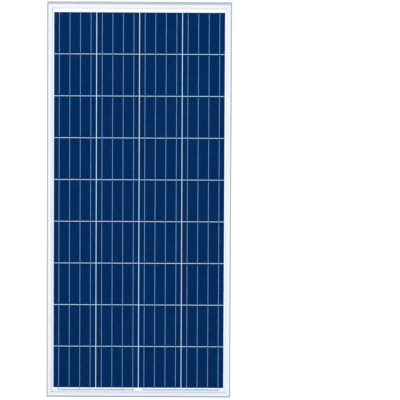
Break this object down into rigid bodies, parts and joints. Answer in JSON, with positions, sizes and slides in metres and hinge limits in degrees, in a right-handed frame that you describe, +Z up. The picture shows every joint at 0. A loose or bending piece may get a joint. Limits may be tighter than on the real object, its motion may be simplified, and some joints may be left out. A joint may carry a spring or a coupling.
{
  "type": "solar panel",
  "caption": "Upright framed solar panel: glass-fronted polycrystalline cells in a mitred aluminium frame, with a rear junction box and two coiled plug-ended leads.",
  "frame": {"origin": "centre of the outer rack-hole pattern, on the plane of the rear mounting flanges", "axes": "+Z up the long side towards the junction box end, +Y out of the back, front glass faces -Y, +X to the right seen from the front"},
  "size_m": [0.688, 0.035, 1.5],
  "materials": {
    "anodised_frame": "satin clear-anodised extrusion",
    "plain_aluminium": "plain pressed aluminium",
    "silicone": "light grey cured silicone",
    "solar_glass": "low-iron tempered glass with a fine texture",
    "encapsulant": "clear cured film",
    "silicon_cell": "blue anti-reflection coated polycrystalline silicon",
    "tinned_ribbon": "tinned copper strip",
    "white_film": "white insulating film",
    "backsheet_film": "matt bluish white laminate film",
    "label_film": "silver-grey printed polyester",
    "dark_label": "dark printed sticker",
    "box_plastic": "fine-grained black moulding",
    "gland_plastic": "black polyamide",
    "black_rubber": "black rubber",
    "steel_pin": "plain stainless pin",
    "terminal_brass": "tinned brass plate",
    "diode_case": "black moulded epoxy",
    "copper_strands": "tinned copper strands",
    "cable_jacket": "black cross-linked jacket",
    "tie_nylon": "black nylon",
    "plug_plastic": "black glass-filled nylon",
    "contact_metal": "silver-plated contact"
  },
  "bodies": {
    "root": {"frame_rail_left": "anodised_frame", "frame_rail_right": "anodised_frame", "frame_rail_top": "anodised_frame", "frame_rail_bottom": "anodised_frame", "corner_keys": "plain_aluminium", "corner_rivets": "plain_aluminium", "edge_sealant": "silicone", "front_glass": "solar_glass", "front_encapsulant": "encapsulant", "cell_string_1": "silicon_cell", "cell_string_2": "silicon_cell", "cell_string_3": "silicon_cell", "cell_string_4": "silicon_cell", "string_ribbons_1": "tinned_ribbon", "string_ribbons_2": "tinned_ribbon", "string_ribbons_3": "tinned_ribbon", "string_ribbons_4": "tinned_ribbon", "bus_ribbons_bottom": "tinned_ribbon", "bus_ribbons_top": "tinned_ribbon", "bus_cover_strip": "white_film", "lead_out_insulator": "white_film", "lead_out_ribbons": "tinned_ribbon", "rear_encapsulant": "white_film", "backsheet": "backsheet_film", "rating_label": "label_film", "serial_sticker": "dark_label", "jbox_adhesive": "silicone", "jbox_base": "box_plastic", "jbox_gasket": "black_rubber", "jbox_hinge_pin": "steel_pin", "terminal_positive": "terminal_brass", "terminal_middle": "terminal_brass", "terminal_negative": "terminal_brass", "bypass_diode_1": "diode_case", "bypass_diode_2": "diode_case", "conductor_ends": "copper_strands", "lead_positive": "cable_jacket", "lead_negative": "cable_jacket", "lead_tie": "tie_nylon", "plug_positive_body": "plug_plastic", "plug_positive_nut": "plug_plastic", "plug_positive_seal": "black_rubber", "plug_positive_contact": "contact_metal", "plug_negative_body": "plug_plastic", "plug_negative_nut": "plug_plastic", "plug_negative_seal": "black_rubber", "plug_negative_contact": "contact_metal"},
    "jbox_lid": {"jbox_lid": "box_plastic"},
    "gland_carrier_positive": {"gland_seal_positive": "black_rubber"},
    "gland_nut_positive": {"gland_nut_positive": "gland_plastic"},
    "gland_carrier_negative": {"gland_seal_negative": "black_rubber"},
    "gland_nut_negative": {"gland_nut_negative": "gland_plastic"}
  },
  "joints": [
    {"name": "jbox_lid_hinge", "type": "hinge", "parent": "root", "child": "jbox_lid", "pos_m": [0, -0.0089, 0.714], "axis": [1, 0, 0], "range_deg": [0, 110]},
    {"name": "gland_nut_positive_travel", "type": "slide", "parent": "root", "child": "gland_carrier_positive", "axis": [0, 0, -1], "range_m": [0, 0.006]},
    {"name": "gland_nut_positive_turn", "type": "hinge", "parent": "gland_carrier_positive", "child": "gland_nut_positive", "pos_m": [0.0125, -0.0178, 0.6216], "axis": [0, 0, -1], "range_deg": [0, 1441]},
    {"name": "gland_nut_negative_travel", "type": "slide", "parent": "root", "child": "gland_carrier_negative", "axis": [0, 0, -1], "range_m": [0, 0.006]},
    {"name": "gland_nut_negative_turn", "type": "hinge", "parent": "gland_carrier_negative", "child": "gland_nut_negative", "pos_m": [-0.0125, -0.0178, 0.6216], "axis": [0, 0, -1], "range_deg": [0, 1441]}
  ],
  "couplings": [
    {"joint": "gland_nut_positive_turn", "follows": "gland_nut_positive_travel", "rad_per_m": 4188.8},
    {"joint": "gland_nut_negative_turn", "follows": "gland_nut_negative_travel", "rad_per_m": 4188.8}
  ]
}
